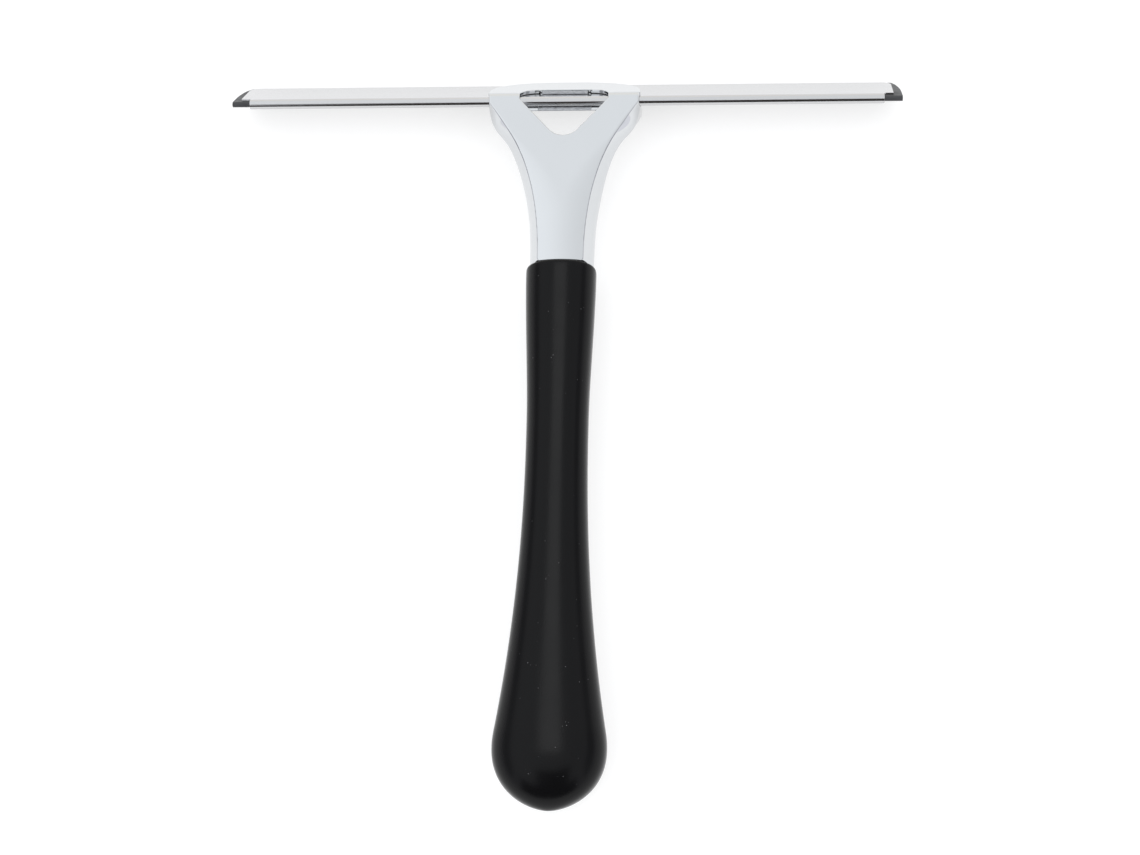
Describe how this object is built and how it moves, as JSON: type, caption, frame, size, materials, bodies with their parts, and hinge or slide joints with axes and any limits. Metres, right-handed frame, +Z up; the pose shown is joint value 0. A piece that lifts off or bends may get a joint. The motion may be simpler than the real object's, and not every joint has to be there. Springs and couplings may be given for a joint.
{
  "type": "window cleaning squeegee",
  "caption": "T-shaped squeegee: a rubber blade in a folded steel channel, clamped by a windowed die-cast head on a soft waisted grip.",
  "frame": {"origin": "middle of the whole object's footprint, on the surface it lies on", "axes": "+X along the blade to the right, +Y from the grip towards the blade, +Z up out of the smooth front face"},
  "size_m": [0.2008, 0.2246, 0.0228],
  "materials": {
    "chrome_head": "bright chrome plate on a smooth die casting",
    "steel_channel": "bright rolled stainless sheet",
    "rubber": "satin",
    "set_screws": "plain stainless",
    "soft_grip": "matte silicone",
    "hard_core": "moulded",
    "core_screws": "zinc plated"
  },
  "bodies": {
    "head": {"head_casting": "chrome_head", "grip_sleeve": "soft_grip", "grip_core_upper": "hard_core", "grip_core_lower": "hard_core", "core_screw_front": "core_screws", "core_screw_rear": "core_screws"},
    "channel": {"blade_channel": "steel_channel"},
    "rubber": {"rubber_blade": "rubber"},
    "screw_left_upper": {"set_screw_left_upper": "set_screws"},
    "screw_left_lower": {"set_screw_left_lower": "set_screws"},
    "screw_right_upper": {"set_screw_right_upper": "set_screws"},
    "screw_right_lower": {"set_screw_right_lower": "set_screws"}
  },
  "joints": [
    {"name": "channel_slide", "type": "slide", "parent": "head", "child": "channel", "axis": [1, 0, 0], "range_m": [-0.07, 0.07]},
    {"name": "rubber_slide", "type": "slide", "parent": "channel", "child": "rubber", "axis": [1, 0, 0], "range_m": [-0.15, 0.15]},
    {"name": "screw_left_upper_travel", "type": "slide", "parent": "head", "child": "screw_left_upper", "axis": [0, -0.788, -0.6157], "range_m": [0, 0.004]},
    {"name": "screw_left_lower_travel", "type": "slide", "parent": "head", "child": "screw_left_lower", "axis": [0, -0.788, -0.6157], "range_m": [0, 0.004]},
    {"name": "screw_right_upper_travel", "type": "slide", "parent": "head", "child": "screw_right_upper", "axis": [0, -0.788, -0.6157], "range_m": [0, 0.004]},
    {"name": "screw_right_lower_travel", "type": "slide", "parent": "head", "child": "screw_right_lower", "axis": [0, -0.788, -0.6157], "range_m": [0, 0.004]}
  ]
}
